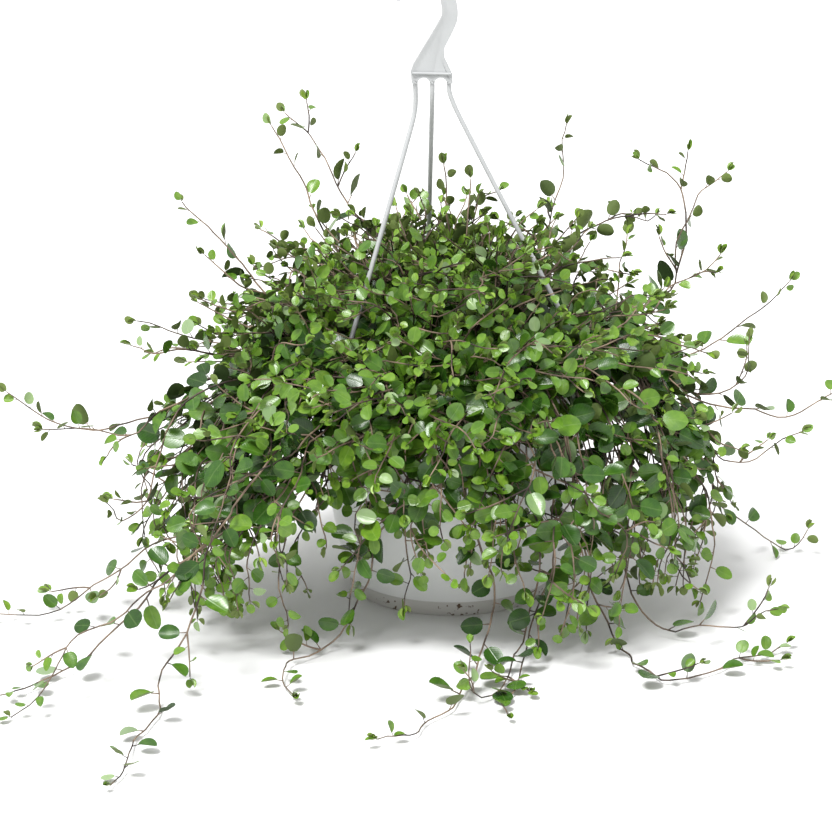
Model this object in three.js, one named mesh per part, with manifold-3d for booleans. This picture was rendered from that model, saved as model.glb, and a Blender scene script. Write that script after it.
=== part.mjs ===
// A creeping wire vine in a white hanging pot, standing on a flat surface.
// Millimetres, +Z up. The origin is the centre of the pot's underside.
import * as THREE from 'three';
import { mergeVertices } from 'three/addons/utils/BufferGeometryUtils.js';
import Module from 'manifold-3d';

const wasm = await Module();
wasm.setup();

// The pot is the common 15 cm size: its mouth measures about 146 mm inside the rim.
const pot = {
  height: 115,
  baseRadius: 52,
  topRadius: 74.5,
  wall: 1.6,
  floor: 1.6,
  footHeight: 8,
  footSetBack: 1.2,
  flangeRadius: 77.5,
  flangeThickness: 2,
  lugWidth: 9,
  lugReach: 4,
  sides: 32,
  drainHoles: 5,
  drainHoleRadius: 4,
  drainCircleRadius: 33,
};

// The hanger is one moulding: a flat hook and hub plate, and three strands that clip into lugs in the rim.
const hanger = {
  headings: [220, 100, 340],
  bendHeights: [243, 249, 251],
  bendDrop: 12,
  strandWidth: 2.5,
  strandPitch: 8.5,
  strandSteps: 9,
  hubX: -10.2,
  hubWidth: 20,
  hubBottom: 255,
  plateThickness: 4,
  neckWidth: 8.2,
  tipWidth: 4.6,
  hookSteps: 16,
  slotRadius: 69.8,
  tabTop: 122,
  tabOverlap: 5,
  barbReach: 1.6,
  barbWidth: 2.4,
  barbHeight: 2.4,
};

// The sides of the hub plate, upwards, and the centre line from the neck over the hook to its tip. All are
// [x, height].
const plateLeft = [[-20.2, 261], [-19, 264.5]];
const plateRight = [[-0.2, 259.5], [-3.9, 267.5], [-3.9, 272.5]];
const hookLine = [
  [-4.8, 280], [-1.9, 286], [-1.4, 290], [-2.5, 296], [-5.3, 304], [-10, 310],
  [-15, 311.5], [-20.5, 309], [-24.7, 303], [-26, 297],
];

const soilTop = 104;
const fit = 0.3;

// Stems are wiry and three-sided here. Each goes down a short hole and leaves the soil straight up.
const stem = {
  radius: 1,
  forkRadius: 0.9,
  step: 20,
  rootDepth: 6,
  collar: 14,
  holeGap: 0.5,
  apart: 3.1,
  fromStrand: 3.3,
  fromPot: 2.5,
  fromFloor: 0.45,
};

// Leaves at true size. A stalk leans out from its stem by an angle in degrees, and blades face up and
// outward. They are smaller within fullAt of a tip, and fewer than on the real plant.
const leaf = {
  length: 12.5,
  width: 11.5,
  thickness: 0.6,
  stalk: 4,
  stalkWidth: 0.8,
  stalkDepth: 0.4,
  cup: 0.16,
  lean: 50,
  leanSpread: 18,
  faceUp: 0.75,
  faceOutward: 0.5,
  fullAt: 45,
  tipSize: 0.5,
  sizeSpread: 0.3,
  spacing: 62,
  bareStem: 50,
  bareFork: 14,
  room: 0.35,
};

// A leaf that would enter another piece is turned about its stem by the next of these angles, in radians.
const leafTwists = [0, 0.7, -0.7, 1.4, -1.4, 2.4, -2.4];

// Leaves of stems that lie on the surface rise a little from it.
const floorZone = 6;
const floorRise = 0.12;

const bendRounds = 110;
const shares = [0, 0.25, 0.5, 0.75, 1];

const colours = { plastic: 0xf2f3f1, soil: 0x3a2a20, leaf: 0x4f8a2c };

// Vines whose stems can be followed in the photograph. A route runs from the soil to the tip as
// [reach, height] in the vertical plane of the vine's heading, counted in degrees from +X towards +Y.
// A third number turns the stem to another heading from there on. Forks leave after a share of the stem.
const followedVines = [
  { heading: 125, route: [[45, 142], [67, 163], [102, 185], [126, 206], [144, 218]],
    forks: [{ from: 0.35, route: [[100, 146, 134], [119, 158, 140], [131, 162, 140]] }] },
  { heading: 150, route: [[42, 128], [64, 163], [80, 183], [93, 213], [103, 221]] },
  { heading: 165, route: [[63, 122], [91, 138], [110, 160], [131, 181], [139, 189]],
    forks: [{ from: 0.5, route: [[106, 150, 171], [124, 164, 172]] }] },
  { heading: 185, route: [[50, 125], [80, 133], [106, 145], [125, 153]] },
  { heading: 190, route: [[80, 121], [117, 130], [141, 138], [152, 139]],
    forks: [{ from: 0.6, route: [[126, 127, 194], [148, 131, 195], [163, 133, 195]] }] },
  { heading: 182, route: [[78, 122], [113, 106], [134, 95], [152, 86], [173, 82], [207, 93], [222, 100]],
    forks: [{ from: 0.4, route: [[128, 108, 190], [158, 98, 197], [181, 96, 198], [205, 97, 198]] }] },
  { heading: 205, route: [[81, 120], [118, 119], [144, 109], [158, 86], [162, 68], [173, 56], [182, 65]] },
  { heading: 196, route: [[79, 121], [92, 95], [108, 52], [134, 40], [180, 17], [202, 10], [227, 3]] },
  { heading: 222, route: [[79, 121], [104, 87], [141, 66], [192, 39], [224, 32], [250, 16], [268, 3]],
    forks: [{ from: 0.5, route: [[180, 33, 217], [199, 19, 216], [217, 6, 216], [240, 2, 217],
      [261, 2, 217]] }] },
  { heading: 228, route: [[79, 121], [110, 105], [152, 82], [174, 49], [196, 14],
    [228, 2, 233], [262, 2, 237], [294, 2, 239]] },
  { heading: 268, route: [[79, 121], [93, 100, 260], [99, 72, 254], [104, 30, 246],
    [112, 7, 240], [142, 2, 237], [174, 2, 245]] },
  { heading: 272, route: [[80, 121], [91, 98, 274], [96, 60, 278], [99, 14, 280],
    [118, 2, 276], [161, 2, 271], [196, 2, 265], [214, 2, 260]] },
  { heading: 290, route: [[80, 121], [95, 100, 291], [103, 60, 293], [103, 14, 290],
    [124, 2, 283], [150, 2, 278], [160, 7, 274], [146, 22, 272]] },
  { heading: 298, route: [[80, 121], [100, 102, 297], [110, 67, 295], [110, 20, 292],
    [122, 3, 287], [150, 2, 280], [182, 2, 277]] },
  { heading: 302, route: [[82, 121], [99, 84, 303], [106, 32, 307], [120, 3, 310],
    [150, 2, 306], [171, 2, 306], [175, 2, 317], [188, 2, 329]] },
  { heading: 322, route: [[82, 121], [94, 84], [99, 38], [124, 6], [150, 12], [172, 18], [193, 24]] },
  { heading: 325, route: [[80, 122], [109, 115], [127, 77], [134, 48], [143, 26]] },
  { heading: 12, route: [[82, 120], [114, 82], [130, 50], [152, 24], [173, 8], [182, 4], [188, 14]] },
  { heading: 352, route: [[80, 122], [99, 104], [126, 80], [147, 70], [164, 78], [176, 84]],
    forks: [{ from: 0.45, route: [[118, 94, 347], [134, 84, 345], [145, 79, 345]] }] },
  { heading: 2, route: [[80, 122], [94, 107], [114, 100], [144, 91], [166, 84], [192, 94], [205, 97]],
    forks: [{ from: 0.4, route: [[128, 99, 357], [140, 108, 355], [145, 130, 355]] }] },
  { heading: 14, route: [[82, 121], [97, 106], [126, 108], [149, 126], [174, 143]] },
  { heading: 25, route: [[60, 122], [91, 124], [117, 138], [129, 165], [139, 188], [157, 198]],
    forks: [{ from: 0.66, route: [[140, 172, 30], [138, 190, 32], [115, 203, 32]] }] },
  { heading: 60, route: [[60, 130], [88, 146], [106, 170], [115, 192], [116, 216]] },
  { heading: 40, route: [[52, 150], [81, 168], [116, 169], [140, 166]] },
  { heading: 18, route: [[79, 121], [110, 138], [130, 148], [140, 159]] },
  { heading: 88, root: 8, route: [[9, 135], [14, 168], [20, 206, 104]],
    forks: [{ from: 0.35, route: [[14, 165, 60], [21, 203, 70]] }] },
  { heading: 215, root: 10, route: [[11, 135], [15, 165, 225], [24, 202, 230]] },
];

// Vines that fill the crown, where no single stem can be followed. They end on a dome over the pot, evenly
// spread over it, and each forks once on its way.
const crownVines = 15;
const goldenAngle = 137.508;
const dome = { middle: 112, wide: 134, high: 76, depth: 12, lowest: 0.06, highest: 0.98 };
const crownStem = {
  reach: 6,
  spread: 48,
  rise: 128,
  swing: 30,
  forkFrom: 0.45,
  forkTurn: 24,
  forkShort: 6,
  forkLow: 10,
};

// Vines that hang over the rim: long and close at the left and right of the front, shorter between them,
// where the pot shows, and of middle length round the sides and the back. Each forks once, past the rim.
const skirts = [
  { first: 188, last: 238, stems: 3, reaches: [112, 146], lows: [12, 62] },
  { first: 286, last: 350, stems: 3, reaches: [106, 136], lows: [10, 60] },
  { first: 238, last: 286, stems: 3, reaches: [92, 108], lows: [38, 80] },
  { first: 350, last: 470, stems: 3, reaches: [100, 118], lows: [40, 80] },
  { first: 470, last: 548, stems: 3, reaches: [98, 116], lows: [40, 80] },
];
const skirtStem = {
  reach: 20,
  spread: 36,
  turn: 30,
  swing: 14,
  overRim: 131,
  shoulder: 118,
  lift: 16,
  forkFrom: 0.45,
  forkTurn: 16,
};

// Roots of the followed vines stand on three rings in the soil.
const innerRing = 26;
const ringPitch = 13;

const up = new THREE.Vector3(0, 0, 1);

// A repeatable draw from 0 to 1 for one vine, a count along it and a purpose.
function draw(vine, count, purpose) {
  const wave = Math.sin(vine * 12.9898 + count * 78.233 + purpose * 37.719) * 43758.5453;
  return wave - Math.floor(wave);
}

function radians(degrees) {
  return degrees * Math.PI / 180;
}

function pointAt(heading, reach, height) {
  return new THREE.Vector3(reach * Math.cos(radians(heading)), reach * Math.sin(radians(heading)), height);
}

function toSolid(geometry) {
  const bare = geometry.clone();
  bare.deleteAttribute('normal');
  bare.deleteAttribute('uv');
  const merged = mergeVertices(bare, 1e-4);
  const corners = merged.index.array;
  const triangles = [];
  for (let i = 0; i < corners.length; i += 3) {
    const [a, b, c] = corners.slice(i, i + 3);
    if (a !== b && b !== c && c !== a) {
      triangles.push(a, b, c);
    }
  }
  return new wasm.Manifold(new wasm.Mesh({
    numProp: 3,
    vertProperties: merged.attributes.position.array,
    triVerts: Uint32Array.from(triangles),
  }));
}

function toGeometry(solid) {
  const mesh = solid.getMesh();
  const geometry = new THREE.BufferGeometry();
  geometry.setAttribute('position', new THREE.BufferAttribute(mesh.vertProperties, 3));
  geometry.setIndex(new THREE.BufferAttribute(mesh.triVerts, 1));
  geometry.computeVertexNormals();
  return geometry;
}

function joinAll(solids) {
  return solids.reduce((whole, next) => whole.add(next));
}

// The largest body of a solid, without loose scraps.
function mainBody(solid) {
  const bodies = solid.decompose();
  bodies.sort((a, b) => b.volume() - a.volume());
  return bodies[0];
}

function lathe(profile) {
  const points = profile.map(([radius, height]) => new THREE.Vector2(radius, height));
  return new THREE.LatheGeometry(points, pot.sides).rotateX(Math.PI / 2);
}

function polygon(corners) {
  return new THREE.Shape(corners.map(([x, y]) => new THREE.Vector2(x, y)));
}

function roundSection(radius, sides) {
  const corners = [];
  for (let i = 0; i < sides; i++) {
    const angle = 2 * Math.PI * i / sides;
    corners.push([radius * Math.cos(angle), radius * Math.sin(angle)]);
  }
  return polygon(corners);
}

// A bar of an even section that follows the given points.
function sweep(points, radius, sides, steps) {
  return new THREE.ExtrudeGeometry(roundSection(radius, sides), { steps, extrudePath: stemCurve(points) });
}

function boxAt(heading, radius, height, size) {
  const box = new THREE.BoxGeometry(...size);
  const centre = pointAt(heading, radius, height);
  return box.rotateZ(radians(heading)).translate(centre.x, centre.y, centre.z);
}

function wallRadius(height) {
  return pot.baseRadius + (pot.topRadius - pot.baseRadius) * height / pot.height;
}

// The pot: a tapered shell on a set-back foot, with a flange round its mouth and three slotted lugs inside.
function makePot() {
  const flangeBottom = pot.height - pot.flangeThickness;
  const footTop = wallRadius(pot.footHeight) - pot.footSetBack;
  const footBottom = wallRadius(0) - pot.footSetBack;
  const shell = toSolid(lathe([
    [0, 0],
    [footBottom, 0],
    [footTop, pot.footHeight],
    [wallRadius(pot.footHeight), pot.footHeight + 0.5],
    [wallRadius(flangeBottom), flangeBottom],
    [pot.flangeRadius, flangeBottom],
    [pot.flangeRadius, pot.height],
    [wallRadius(pot.height) - pot.wall, pot.height],
    [wallRadius(pot.floor) - pot.footSetBack - pot.wall, pot.floor],
    [0, pot.floor],
  ]));
  const middle = pot.height - pot.flangeThickness / 2;
  const lugEnd = (wallRadius(pot.height) + wallRadius(pot.height) - pot.wall) / 2;
  const lugLength = lugEnd - hanger.slotRadius + pot.lugReach;
  const lugs = hanger.headings.map((heading) => toSolid(boxAt(
    heading, lugEnd - lugLength / 2, middle, [lugLength, pot.lugWidth, pot.flangeThickness],
  )));
  const slot = hanger.strandWidth + 2 * fit;
  const cuts = hanger.headings.map((heading) => toSolid(boxAt(
    heading, hanger.slotRadius, middle, [slot, slot, 2 * pot.flangeThickness],
  )));
  for (let i = 0; i < pot.drainHoles; i++) {
    const centre = pointAt(360 * (i + 0.5) / pot.drainHoles, pot.drainCircleRadius, pot.floor / 2);
    const drill = new THREE.CylinderGeometry(pot.drainHoleRadius, pot.drainHoleRadius, 3 * pot.floor, 6);
    cuts.push(toSolid(drill.rotateX(Math.PI / 2).translate(centre.x, centre.y, centre.z)));
  }
  return joinAll([shell, ...lugs]).subtract(joinAll(cuts));
}

// The hub plate and hook: one flat outline with two round arches below and the hook's curve above.
function makeHook() {
  const line = new THREE.CatmullRomCurve3(hookLine.map(([x, height]) => new THREE.Vector3(x, height, 0)));
  const left = [];
  const right = [];
  for (let i = 0; i <= hanger.hookSteps; i++) {
    const share = i / hanger.hookSteps;
    const centre = line.getPointAt(share);
    const along = line.getTangentAt(share);
    const half = (hanger.neckWidth + (hanger.tipWidth - hanger.neckWidth) * share) / 2;
    left.push([centre.x - along.y * half, centre.y + along.x * half]);
    right.push([centre.x + along.y * half, centre.y - along.x * half]);
  }
  const tip = line.getPointAt(1);
  const tipWay = line.getTangentAt(1);
  const tipEnd = [tip.x + tipWay.x * hanger.tipWidth / 2, tip.y + tipWay.y * hanger.tipWidth / 2];
  const shape = new THREE.Shape();
  const edge = hanger.hubWidth / 2;
  const arch = (hanger.strandPitch - hanger.strandWidth) / 2;
  shape.moveTo(hanger.hubX - edge, hanger.hubBottom);
  for (const side of [-1, 1]) {
    const middle = hanger.hubX + side * hanger.strandPitch / 2;
    shape.lineTo(middle - arch, hanger.hubBottom);
    shape.absarc(middle, hanger.hubBottom, arch, Math.PI, 0, true);
  }
  shape.lineTo(hanger.hubX + edge, hanger.hubBottom);
  const outline = [...plateRight, ...right, tipEnd, ...left.reverse(), ...plateLeft.toReversed()];
  for (const [x, height] of outline) {
    shape.lineTo(x, height);
  }
  const plate = new THREE.ExtrudeGeometry(shape, {
    depth: hanger.plateThickness,
    bevelEnabled: false,
    curveSegments: 5,
  });
  return toSolid(plate.rotateX(Math.PI / 2).translate(0, hanger.plateThickness / 2, 0));
}

// One strand's centre line: straight down from the hub, a bend, and a straight run out to the rim.
function strandPoints(index) {
  const top = hanger.hubX + (index - 1) * hanger.strandPitch;
  const rim = pointAt(hanger.headings[index], hanger.slotRadius, hanger.tabTop);
  const bend = new THREE.Vector3(top, 0, hanger.bendHeights[index]);
  const drop = hanger.bendDrop / (bend.z - rim.z);
  return [
    bend.clone().setZ(hanger.hubBottom + hanger.strandWidth),
    bend,
    bend.clone().lerp(rim, 0.8 * drop).setZ(bend.z - hanger.bendDrop),
    bend.clone().lerp(rim, 0.92),
    rim,
    rim.clone().setZ(hanger.tabTop - hanger.tabOverlap),
  ];
}

// One strand with its tab, which passes through the rim's slot and catches below it with a barb.
function makeStrand(index) {
  const heading = hanger.headings[index];
  const width = hanger.strandWidth;
  const section = roundSection(width / 2 / Math.cos(Math.PI / 6), 6);
  const path = new THREE.CatmullRomCurve3(strandPoints(index));
  const bar = new THREE.ExtrudeGeometry(section, { steps: hanger.strandSteps, extrudePath: path });
  const barbTop = pot.height - pot.flangeThickness - fit;
  const tabBottom = barbTop - hanger.barbHeight;
  const tabHeight = hanger.tabTop - hanger.tabOverlap / 2 - tabBottom;
  const tab = boxAt(heading, hanger.slotRadius, tabBottom + tabHeight / 2, [width, width, tabHeight]);
  const barb = boxAt(
    heading, hanger.slotRadius - hanger.barbReach / 2, tabBottom + hanger.barbHeight / 2,
    [width + hanger.barbReach, hanger.barbWidth, hanger.barbHeight],
  );
  return joinAll([bar, tab, barb].map(toSolid));
}

// The route of a vine, as points in space.
function routeOf(vine, index) {
  let heading = vine.heading;
  const rootReach = vine.root ?? innerRing + ringPitch * (index % 3);
  const route = [pointAt(heading, rootReach, soilTop)];
  for (const [reach, height, turn] of vine.route) {
    heading = turn ?? heading;
    route.push(pointAt(heading, reach, height));
  }
  return route;
}

function between([low, high], share) {
  return low + (high - low) * share;
}

// A vine of the crown: up out of the soil, outward, and to its place on the dome.
function crownVine(index) {
  const rise = Math.asin(between([dome.lowest, dome.highest], (index + 0.5) / crownVines));
  const far = between([dome.wide, dome.high], 2 * rise / Math.PI) - dome.depth * draw(index, 1, 1);
  const endReach = far * Math.cos(rise);
  const endHeight = dome.middle + far * Math.sin(rise);
  const root = crownStem.reach + crownStem.spread * draw(index, 2, 1) * Math.cos(rise);
  const over = Math.max(crownStem.rise, dome.middle + 0.75 * far * Math.sin(rise));
  const heading = (index * goldenAngle) % 360;
  const swing = heading + crownStem.swing * (draw(index, 3, 1) - 0.5);
  const turn = Math.min(120, crownStem.forkTurn / Math.cos(rise)) * (index % 2 ? 1 : -1);
  const midReach = between([root, endReach], 0.75);
  return {
    heading,
    root,
    route: [
      [between([root, endReach], 0.4), over - 6],
      [midReach, (over + endHeight) / 2 + 4],
      [endReach, endHeight, swing],
    ],
    forks: [{
      from: crownStem.forkFrom,
      route: [
        [midReach, over - 2, heading + turn / 2],
        [endReach - crownStem.forkShort, endHeight - crownStem.forkLow, heading + turn],
      ],
    }],
  };
}

// A vine that hangs over the rim and down.
function skirtVine(skirt, number, index) {
  const at = 10 * number + index + 46;
  const place = (index + 0.25 + 0.5 * draw(at, 1, 1)) / skirt.stems;
  const heading = between([skirt.first, skirt.last], place);
  const reach = between(skirt.reaches, draw(at, 2, 1));
  const low = between(skirt.lows, draw(at, 3, 1));
  const shoulder = skirtStem.shoulder + skirtStem.lift * draw(at, 6, 1);
  const turn = skirtStem.forkTurn * (index % 2 ? 1 : -1);
  return {
    heading: heading + skirtStem.turn * (draw(at, 4, 1) - 0.5),
    root: skirtStem.reach + skirtStem.spread * draw(at, 8, 1),
    route: [
      [60, skirtStem.overRim + 8 * draw(at, 7, 1)],
      [86, shoulder, heading],
      [between([86, reach], 0.55) + 6, between([shoulder, low], 0.34)],
      [reach + 4, between([shoulder, low], 0.72), heading + skirtStem.swing * (draw(at, 5, 1) - 0.5)],
      [reach, low],
    ],
    forks: [{
      from: skirtStem.forkFrom,
      route: [
        [between([86, reach], 0.55) + 4, between([shoulder, low], 0.36), heading + turn],
        [reach - 6, between([shoulder, low], 0.8), heading + 1.5 * turn],
      ],
    }],
  };
}

const vines = [
  ...followedVines,
  ...Array.from({ length: crownVines }, (_, index) => crownVine(index)),
  ...skirts.flatMap((skirt, number) => (
    Array.from({ length: skirt.stems }, (_, index) => skirtVine(skirt, number, index))
  )),
];

// Evenly stepped points of a smooth curve, starting straight up out of its hole in the soil.
function stemPoints(route) {
  const [root, ...rest] = route;
  const collar = root.clone().setZ(soilTop + stem.collar);
  const curve = stemCurve([collar, ...rest]);
  const steps = Math.max(2, Math.round(curve.getLength() / stem.step));
  return [root.clone().setZ(soilTop - stem.rootDepth), ...curve.getSpacedPoints(steps)];
}

// A fork starts at a point of its parent, which the two stems share.
function forkPoints(parent, fork) {
  const start = Math.round(fork.from * (parent.length - 1));
  const route = fork.route.map(([reach, height, heading]) => pointAt(heading, reach, height));
  const curve = stemCurve([parent[start], ...route]);
  const steps = Math.max(2, Math.round(curve.getLength() / stem.step));
  return [parent[start], ...curve.getSpacedPoints(steps).slice(1)];
}

function stemCurve(points) {
  return new THREE.CatmullRomCurve3(points);
}

// Every stem with its vine's number. Its pinned points stay where they are: those of the root.
function layStems() {
  const laid = [];
  vines.forEach((vine, index) => {
    const points = stemPoints(routeOf(vine, index));
    laid.push({ vine: index, points, pinned: 2, radius: stem.radius });
    for (const fork of vine.forks ?? []) {
      laid.push({ vine: index, points: forkPoints(points, fork), pinned: 0, radius: stem.forkRadius });
    }
  });
  return laid;
}

// The closest points of two segments, as shares of each.
function closestShares(a, b, c, d) {
  const first = b.clone().sub(a);
  const second = d.clone().sub(c);
  const between = a.clone().sub(c);
  const firstSquare = first.dot(first);
  const secondSquare = second.dot(second);
  const cross = first.dot(second);
  const fromFirst = first.dot(between);
  const fromSecond = second.dot(between);
  const spread = firstSquare * secondSquare - cross * cross;
  let s = spread > 1e-6 ? (cross * fromSecond - fromFirst * secondSquare) / spread : 0.5;
  s = Math.min(1, Math.max(0, s));
  let t = (cross * s + fromSecond) / secondSquare;
  t = Math.min(1, Math.max(0, t));
  s = Math.min(1, Math.max(0, (cross * t - fromFirst) / firstSquare));
  return [s, t];
}

// How far a point on a stem must move to stay clear of the pot, the soil and the floor.
function wayOut(point) {
  const reach = Math.hypot(point.x, point.y);
  const lowest = stem.fromFloor + stem.radius;
  const overRim = pot.height + stem.fromPot + 0.5;
  const move = new THREE.Vector3(0, 0, Math.max(0, lowest - point.z));
  if (point.z >= overRim) {
    return move;
  }
  if (reach < hanger.slotRadius - pot.lugReach - stem.fromPot) {
    move.z = Math.max(move.z, soilTop + stem.fromPot - point.z);
  } else if (reach < pot.flangeRadius + stem.fromPot && point.z > pot.height - 12) {
    move.z = overRim - point.z;
  } else {
    const outside = wallRadius(Math.max(0, point.z)) + stem.fromPot;
    const away = Math.max(0, outside - reach) / reach;
    move.x = point.x * away;
    move.y = point.y * away;
  }
  return move;
}

// Moves a segment's free ends so that the point at the given share of it moves by the push.
function nudge(segment, share, push) {
  const weight = share * share + (1 - share) * (1 - share);
  if (!segment.startFixed) {
    segment.start.addScaledVector(push, (1 - share) / weight);
  }
  if (!segment.endFixed) {
    segment.end.addScaledVector(push, share / weight);
  }
}

// Where two segments come closer than the clearance: the shares along them, and the push that parts them.
function tooClose(one, other, clearance) {
  const [s, t] = closestShares(one.start, one.end, other.start, other.end);
  const apart = one.start.clone().lerp(one.end, s).sub(other.start.clone().lerp(other.end, t));
  const distance = apart.length();
  if (distance >= clearance) {
    return null;
  }
  const way = distance < 1e-3 ? up.clone() : apart.normalize();
  return { s, t, push: way.multiplyScalar(clearance - distance) };
}

function segmentsOf(points, pinned, vine) {
  return points.slice(1).map((end, i) => ({
    vine,
    start: points[i],
    end,
    startFixed: i < pinned,
    endFixed: i + 1 < pinned,
  }));
}

// Bends the stems clear of each other, the hanger's strands, the pot and the floor.
function bendClear(laid) {
  const segments = laid.flatMap(({ points, pinned, vine }) => segmentsOf(points, pinned, vine));
  const bars = hanger.headings.flatMap((heading, index) => {
    const points = stemCurve(strandPoints(index)).getSpacedPoints(hanger.strandSteps);
    return segmentsOf(points, points.length, -1);
  });
  for (let round = 0; round < bendRounds; round++) {
    segments.forEach((one, i) => {
      for (const other of segments.slice(i + 1)) {
        if (one.vine === other.vine || one.start.distanceTo(other.start) > 3 * stem.step) {
          continue;
        }
        const meeting = tooClose(one, other, stem.apart);
        if (meeting) {
          nudge(one, meeting.s, meeting.push.clone().multiplyScalar(0.5));
          nudge(other, meeting.t, meeting.push.clone().multiplyScalar(-0.5));
        }
      }
      for (const bar of bars) {
        const meeting = tooClose(one, bar, stem.fromStrand);
        if (meeting) {
          nudge(one, meeting.s, meeting.push);
        }
      }
      if (!one.startFixed || !one.endFixed) {
        for (const share of shares) {
          nudge(one, share, wayOut(one.start.clone().lerp(one.end, share)));
        }
      }
    });
  }
}

// A closed body through rings of four corners each. Corners of a ring may coincide.
function loft(rings) {
  const corners = rings.flat(2);
  const index = [0, 1, 2, 0, 2, 3];
  for (let ring = 0; ring < rings.length - 1; ring++) {
    for (let side = 0; side < 4; side++) {
      const near = 4 * ring + side;
      const nearNext = 4 * ring + (side + 1) % 4;
      index.push(near, near + 4, nearNext + 4, near, nearNext + 4, nearNext);
    }
  }
  const last = 4 * (rings.length - 1);
  index.push(last, last + 2, last + 1, last, last + 3, last + 2);
  const geometry = new THREE.BufferGeometry();
  geometry.setAttribute('position', new THREE.Float32BufferAttribute(corners, 3));
  geometry.setIndex(index);
  return geometry;
}

// One leaf along +X with its face up: a three-sided stalk that opens into a round, cupped blade.
function leafGeometry(length, width, grow) {
  const half = width / 2 + grow;
  const skin = leaf.thickness / 2 + grow;
  const stalkHalf = leaf.stalkWidth / 2 + grow;
  const underStalk = -leaf.stalkDepth - grow;
  const stalkRing = (x) => {
    const under = [x, 0, underStalk];
    return [[x, -stalkHalf, skin], [x, stalkHalf, skin], under, under];
  };
  const bladeRing = (share, fullness) => {
    const x = leaf.stalk + share * length;
    const y = fullness * half;
    const lift = leaf.cup * y;
    return [[x, -y, lift + skin], [x, y, lift + skin], [x, y, lift - skin], [x, -y, lift - skin]];
  };
  const end = leaf.stalk + length + grow;
  return loft([
    stalkRing(0),
    stalkRing(leaf.stalk),
    bladeRing(0.26, 0.92),
    bladeRing(0.7, 0.86),
    [[end, 0, skin], [end, 0, skin], [end, 0, -skin], [end, 0, -skin]],
  ]);
}

// Sites for leaves along a stem: evenly spaced, on alternate sides, small towards the tip.
function leafSites(each, stemIndex) {
  const path = stemCurve(each.points);
  const length = path.getLength();
  const sites = [];
  const start = each.pinned ? leaf.bareStem * (0.85 + 0.3 * draw(stemIndex, 1, 2)) : leaf.bareFork;
  for (let at = start, count = 0; at < length - 4; at += leaf.spacing, count++) {
    sites.push({ share: at / length, toTip: length - at, side: count % 2 ? 1 : -1, count });
  }
  sites.push({ share: 1, toTip: 0, side: 0, count: sites.length });
  return sites.map((site) => ({
    ...site,
    stemIndex,
    vine: each.vine,
    point: path.getPointAt(site.share),
    along: path.getTangentAt(site.share),
  }));
}

// The frame of a leaf at its site: its stalk leans out from the stem and its face looks up and outward.
function leafFrame(site, twist) {
  const outward = new THREE.Vector3(site.point.x, site.point.y, 0).normalize();
  const { stemIndex, count } = site;
  const face = new THREE.Vector3(draw(stemIndex, count, 3) - 0.5, draw(stemIndex, count, 4) - 0.5, 0);
  face.addScaledVector(up, leaf.faceUp).addScaledVector(outward, leaf.faceOutward);
  face.applyAxisAngle(site.along, twist);
  const sideways = new THREE.Vector3().crossVectors(face, site.along).normalize();
  const lean = site.side === 0 ? 0 : radians(leaf.lean + leaf.leanSpread * draw(stemIndex, count, 5));
  const way = site.along.clone().multiplyScalar(Math.cos(lean));
  way.addScaledVector(sideways, site.side * Math.sin(lean));
  if (site.point.z < floorZone) {
    way.z = Math.max(way.z, floorRise);
  }
  way.normalize();
  face.addScaledVector(way, -face.dot(way)).normalize();
  const across = new THREE.Vector3().crossVectors(face, way);
  return new THREE.Matrix4().makeBasis(way, across, face).setPosition(site.point);
}

function leafSize(site) {
  const young = Math.min(1, leaf.tipSize + (1 - leaf.tipSize) * site.toTip / leaf.fullAt);
  return young * (1 + leaf.sizeSpread * (draw(site.stemIndex, site.count, 6) - 0.5));
}

function leafSolid(site, twist, grow) {
  const size = leafSize(site);
  const blade = leafGeometry(leaf.length * size, leaf.width * size, grow);
  return toSolid(blade.applyMatrix4(leafFrame(site, twist)));
}

function boxesMeet(one, other) {
  return [0, 1, 2].every((axis) => one.min[axis] <= other.max[axis] && other.min[axis] <= one.max[axis]);
}

function meets(one, solids) {
  const box = one.boundingBox();
  return solids.some((other) => boxesMeet(box, other.boundingBox()) && !one.intersect(other).isEmpty());
}

const potSolid = makePot();
const hangerSolid = joinAll([makeHook(), ...hanger.headings.map((heading, index) => makeStrand(index))]);

const stems = layStems();
bendClear(stems);

// The soil fills the pot to just under its rim, with a hole for each stem.
function makeSoil() {
  const inset = pot.wall + fit + 0.05;
  const bottom = pot.floor + fit;
  let soil = toSolid(lathe([
    [0, bottom],
    [wallRadius(bottom) - pot.footSetBack - inset, bottom],
    [wallRadius(soilTop) - inset, soilTop],
    [0, soilTop],
  ]));
  const holes = stems.filter((each) => each.pinned).map((each) => {
    const root = each.points[0].clone().setZ(each.points[0].z - fit);
    return toSolid(sweep([root, each.points[1]], stem.radius + 2 * stem.holeGap, 3, 1));
  });
  for (const hole of holes) {
    soil = soil.subtract(hole);
  }
  return soil;
}

const soilSolid = makeSoil();

// Each vine is one body: its stem, its forks and its leaves, set so that no leaf enters another vine.
function makeVines() {
  const bodies = vines.map(() => []);
  for (const { vine, points, radius } of stems) {
    bodies[vine].push(toSolid(sweep(points, radius, 3, points.length - 1)));
  }
  const sites = stems.flatMap(leafSites).sort((a, b) => a.toTip - b.toTip);
  for (const site of sites) {
    const neighbours = bodies.filter((parts, vine) => vine !== site.vine).flat();
    neighbours.push(potSolid, hangerSolid, soilSolid);
    const open = leafTwists.find((twist) => {
      const guard = leafSolid(site, twist, leaf.room);
      return guard.boundingBox().min[2] > stem.fromFloor - leaf.room && !meets(guard, neighbours);
    });
    if (open !== undefined) {
      bodies[site.vine].push(leafSolid(site, open, 0));
    }
  }
  return bodies.map((parts) => mainBody(joinAll(parts)));
}

const group = new THREE.Group();

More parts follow.
